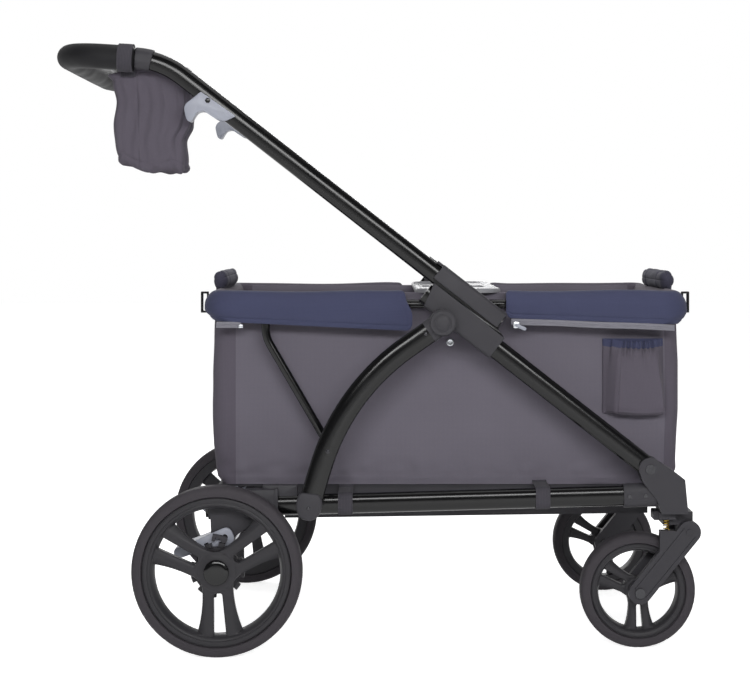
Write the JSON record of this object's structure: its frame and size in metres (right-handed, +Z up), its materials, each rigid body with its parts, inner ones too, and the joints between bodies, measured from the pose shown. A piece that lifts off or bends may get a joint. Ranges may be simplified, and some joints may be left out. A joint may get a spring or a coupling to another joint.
{
  "type": "stroller wagon",
  "caption": "Folding stroller wagon with a fabric tub on a tubular frame, push handle, snack tray, foot brake, large rear wheels and sprung front casters.",
  "frame": {"origin": "on the ground under the middle of the wagon", "axes": "+X towards the caster end, -X towards the push handle, +Z up, -Y the right side"},
  "size_m": [1.1557, 0.658, 1.0826],
  "materials": {
    "frame_black": "gloss black powder coat",
    "steel": "zinc plated",
    "spring": "yellow zinc wire",
    "plastic_dark": "satin moulded nylon",
    "rim_black": "satin moulded polypropylene",
    "tyre": "matte foamed rubber",
    "fabric_gray": "woven polyester",
    "fabric_navy": "padded woven polyester",
    "webbing": "woven webbing",
    "zip_gray": "zip tape",
    "grip_foam": "soft foam",
    "plastic_pale": "satin moulded plastic",
    "zip_metal": "polished"
  },
  "bodies": {
    "root": {"right_base_rail": "frame_black", "left_base_rail": "frame_black", "right_front_casting": "plastic_dark", "left_front_casting": "plastic_dark", "right_rear_leg": "frame_black", "left_rear_leg": "frame_black", "cross_tubes": "frame_black", "rear_axle": "steel", "floor_tray": "plastic_dark", "floor_mat": "fabric_gray", "basket_shell": "fabric_gray", "side_pocket": "fabric_gray", "rail_straps": "webbing", "frame_rivets": "steel", "harness_straps": "webbing"},
    "diagonals": {"right_diagonal": "frame_black", "left_diagonal": "frame_black"},
    "braces": {"right_brace": "frame_black", "left_brace": "frame_black", "brace_knobs": "plastic_dark"},
    "sliders": {"right_slider": "plastic_dark", "left_slider": "plastic_dark"},
    "struts": {"right_strut": "frame_black", "left_strut": "frame_black"},
    "rim": {"rim_frame": "frame_black", "right_covers": "fabric_navy", "left_covers": "fabric_navy", "zip_tapes": "zip_gray", "end_rolls": "fabric_gray", "end_brackets": "frame_black"},
    "tray": {"snack_tray": "plastic_pale"},
    "handle": {"right_push_tube": "frame_black", "left_push_tube": "frame_black", "handle_bar": "steel", "handle_grip": "grip_foam", "grip_collars": "plastic_dark", "cup_bag": "fabric_gray"},
    "brake": {"brake_linkage": "plastic_pale"},
    "zip": {"zip_slider": "zip_metal"},
    "right_rear_wheel": {"right_rear_tyre": "tyre", "right_rear_rim": "rim_black", "right_hub_cap": "plastic_dark"},
    "right_caster": {"right_caster_head": "plastic_dark", "right_caster_spring": "spring"},
    "right_fork": {"right_caster_arms": "plastic_dark", "right_front_axle": "steel"},
    "right_front_wheel": {"right_front_tyre": "tyre", "right_front_rim": "rim_black"},
    "right_lever_body": {"right_lever": "plastic_pale"},
    "left_rear_wheel": {"left_rear_tyre": "tyre", "left_rear_rim": "rim_black", "left_hub_cap": "plastic_dark"},
    "left_caster": {"left_caster_head": "plastic_dark", "left_caster_spring": "spring"},
    "left_fork": {"left_caster_arms": "plastic_dark", "left_front_axle": "steel"},
    "left_front_wheel": {"left_front_tyre": "tyre", "left_front_rim": "rim_black"},
    "left_lever_body": {"left_lever": "plastic_pale"}
  },
  "joints": [
    {"name": "fold", "type": "hinge", "parent": "root", "child": "diagonals", "pos_m": [0.486, 0, 0.325], "axis": [0, -1, 0], "range_deg": [0, 35], "deforming": ["basket_shell", "side_pocket", "cup_bag", "harness_straps"]},
    {"name": "brace_fold", "type": "hinge", "parent": "root", "child": "braces", "pos_m": [-0.117, 0, 0.2605], "axis": [0, 1, 0], "range_deg": [0, 46.4]},
    {"name": "slider_travel", "type": "slide", "parent": "diagonals", "child": "sliders", "axis": [0.788, 0, -0.6157], "range_m": [0, 0.2451]},
    {"name": "rim_lower", "type": "slide", "parent": "root", "child": "rim", "axis": [0, 0, -1], "range_m": [0, 0.2501]},
    {"name": "strut_fold", "type": "hinge", "parent": "braces", "child": "struts", "pos_m": [-0.083, 0, 0.36], "axis": [0, -1, 0], "range_deg": [0, 101.1]},
    {"name": "handle_slide", "type": "slide", "parent": "sliders", "child": "handle", "axis": [0.788, 0, -0.6157], "range_m": [0, 0.08]},
    {"name": "tray_lift", "type": "slide", "parent": "rim", "child": "tray", "axis": [0, 0, 1], "range_m": [0, 0.08]},
    {"name": "zip_pull", "type": "slide", "parent": "rim", "child": "zip", "axis": [0.9993, 0, -0.0381], "range_m": [0, 0.27]},
    {"name": "brake_press", "type": "hinge", "parent": "root", "child": "brake", "pos_m": [-0.266, 0, 0.203], "axis": [0, -1, 0], "range_deg": [0, 20]},
    {"name": "right_rear_roll", "type": "hinge", "parent": "root", "child": "right_rear_wheel", "pos_m": [-0.277, -0.304, 0.15], "axis": [0, 1, 0], "continuous": true},
    {"name": "right_swivel", "type": "hinge", "parent": "root", "child": "right_caster", "pos_m": [0.54, -0.234, 0.26], "axis": [0, 0, 1], "continuous": true},
    {"name": "right_suspension", "type": "hinge", "parent": "right_caster", "child": "right_fork", "pos_m": [0.558, -0.234, 0.211], "axis": [0, 1, 0], "range_deg": [0, 7], "stiffness_Nm_per_rad": 40, "springref_deg": -9.74, "deforming": ["right_caster_spring"]},
    {"name": "right_front_roll", "type": "hinge", "parent": "right_fork", "child": "right_front_wheel", "pos_m": [0.47, -0.234, 0.103], "axis": [0, 1, 0], "continuous": true},
    {"name": "right_lever_pull", "type": "hinge", "parent": "handle", "child": "right_lever_body", "pos_m": [-0.2957, -0.2685, 0.9763], "axis": [0, 1, 0], "range_deg": [0, 10], "stiffness_Nm_per_rad": 2, "springref_deg": -5.73},
    {"name": "left_rear_roll", "type": "hinge", "parent": "root", "child": "left_rear_wheel", "pos_m": [-0.277, 0.304, 0.15], "axis": [0, 1, 0], "continuous": true},
    {"name": "left_swivel", "type": "hinge", "parent": "root", "child": "left_caster", "pos_m": [0.54, 0.234, 0.26], "axis": [0, 0, 1], "continuous": true},
    {"name": "left_suspension", "type": "hinge", "parent": "left_caster", "child": "left_fork", "pos_m": [0.558, 0.234, 0.211], "axis": [0, 1, 0], "range_deg": [0, 7], "stiffness_Nm_per_rad": 40, "springref_deg": -9.74, "deforming": ["left_caster_spring"]},
    {"name": "left_front_roll", "type": "hinge", "parent": "left_fork", "child": "left_front_wheel", "pos_m": [0.47, 0.234, 0.103], "axis": [0, 1, 0], "continuous": true},
    {"name": "left_lever_pull", "type": "hinge", "parent": "handle", "child": "left_lever_body", "pos_m": [-0.2957, 0.2685, 0.9763], "axis": [0, 1, 0], "range_deg": [0, 10], "stiffness_Nm_per_rad": 2, "springref_deg": -5.73}
  ],
  "couplings": [
    {"joint": "brace_fold", "follows": "fold", "ratio": 1.3246},
    {"joint": "slider_travel", "follows": "fold", "m_per_rad": 0.40107},
    {"joint": "rim_lower", "follows": "fold", "m_per_rad": 0.4092},
    {"joint": "strut_fold", "follows": "fold", "ratio": 2.8874}
  ]
}
